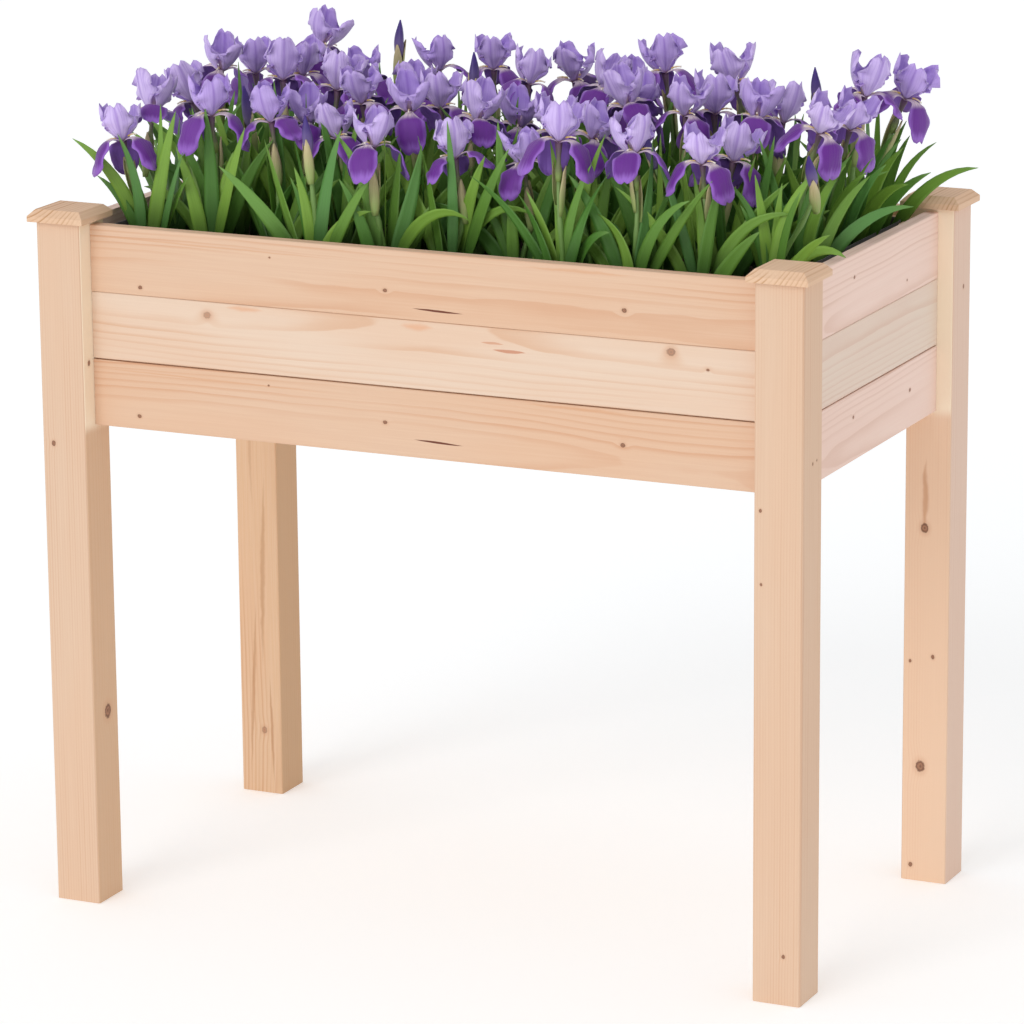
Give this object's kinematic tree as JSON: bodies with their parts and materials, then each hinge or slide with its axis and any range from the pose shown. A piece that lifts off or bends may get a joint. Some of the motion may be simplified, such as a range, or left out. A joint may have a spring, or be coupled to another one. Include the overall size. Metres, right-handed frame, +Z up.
{
  "type": "raised planter on legs",
  "caption": "Raised wooden garden planter: an open board-sided box on square capped legs, with a slatted floor and a lift-out, lined planting of purple irises.",
  "frame": {"origin": "on the ground, at the centre of the four feet", "axes": "+Z up, X along the planter's long side, Y across it with the front at -Y"},
  "size_m": [0.882, 0.494, 0.9415],
  "materials": {
    "leg_wood": "matte",
    "cap_wood": "matte",
    "board_wood": "matte",
    "inner_wood": "matte",
    "dowel_wood": "matte",
    "screw_steel": "satin",
    "liner_felt": "matte",
    "compost": "matte",
    "petal": "matte",
    "bud": "matte",
    "stem": "matte",
    "leaf": "matte"
  },
  "bodies": {
    "planter": {"batten_back_1": "inner_wood", "batten_back_2": "inner_wood", "batten_front_1": "inner_wood", "batten_front_2": "inner_wood", "batten_left_1": "inner_wood", "batten_left_2": "inner_wood", "batten_right_1": "inner_wood", "batten_right_2": "inner_wood", "bearer_screws": "screw_steel", "board_back_lower": "board_wood", "board_back_middle": "board_wood", "board_back_upper": "board_wood", "board_front_lower": "board_wood", "board_front_middle": "board_wood", "board_front_upper": "board_wood", "board_left_lower": "board_wood", "board_left_middle": "board_wood", "board_left_upper": "board_wood", "board_right_lower": "board_wood", "board_right_middle": "board_wood", "board_right_upper": "board_wood", "board_screws_end": "screw_steel", "board_screws_long": "screw_steel", "cap_back_left": "cap_wood", "cap_back_right": "cap_wood", "cap_dowels": "dowel_wood", "cap_front_left": "cap_wood", "cap_front_right": "cap_wood", "floor_bearer": "inner_wood", "floor_rail_back": "inner_wood", "floor_rail_front": "inner_wood", "floor_rail_left": "inner_wood", "floor_rail_right": "inner_wood", "floor_slat_1": "inner_wood", "floor_slat_2": "inner_wood", "floor_slat_3": "inner_wood", "floor_slat_4": "inner_wood", "floor_slat_5": "inner_wood", "floor_slat_6": "inner_wood", "floor_slat_7": "inner_wood", "floor_slat_8": "inner_wood", "leg_back_left": "leg_wood", "leg_back_right": "leg_wood", "leg_front_left": "leg_wood", "leg_front_right": "leg_wood", "leg_screws": "screw_steel", "rail_screws_end": "screw_steel", "rail_screws_long": "screw_steel", "slat_screws": "screw_steel"},
    "planting": {"liner": "liner_felt", "growing_medium": "compost", "iris_stems": "stem", "iris_leaves": "leaf", "iris_blooms": "petal", "iris_buds": "bud"}
  },
  "joints": [
    {"name": "planting_lift", "type": "slide", "parent": "planter", "child": "planting", "axis": [0, 0, 1], "range_m": [0, 0.3]}
  ]
}
